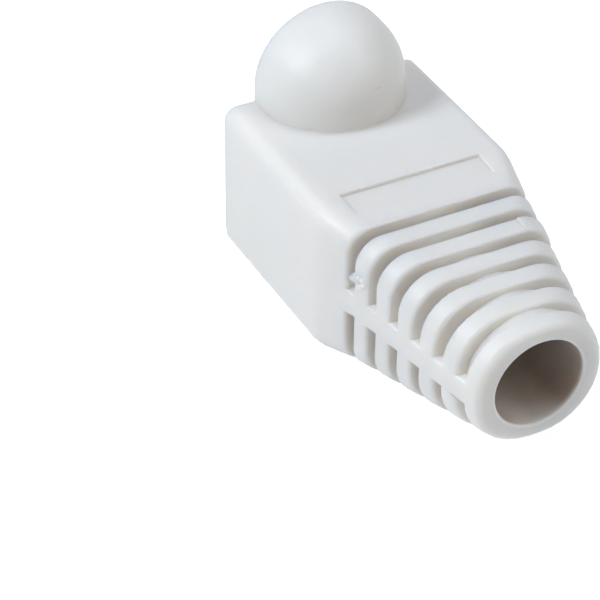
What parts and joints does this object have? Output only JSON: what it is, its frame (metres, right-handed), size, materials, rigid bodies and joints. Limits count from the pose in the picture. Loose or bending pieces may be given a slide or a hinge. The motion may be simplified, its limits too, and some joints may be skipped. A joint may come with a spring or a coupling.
{
  "type": "rj45 strain relief boot",
  "caption": "One-piece moulded boot for a modular network plug: box for the plug, open latch hood on top, slotted tapering tail and round cable exit.",
  "frame": {"origin": "where the axis of the cable bore meets the mouth plane, the open end that the plug enters", "axes": "+X from the mouth to the cable exit along the bore, +Z towards the latch hood, +Y to the left of someone looking along +X"},
  "size_m": [0.0277, 0.014, 0.0164],
  "materials": {
    "boot": "light grey moulded plastic, semi-matte"
  },
  "bodies": {
    "root": {"boot": "boot"}
  },
  "joints": []
}
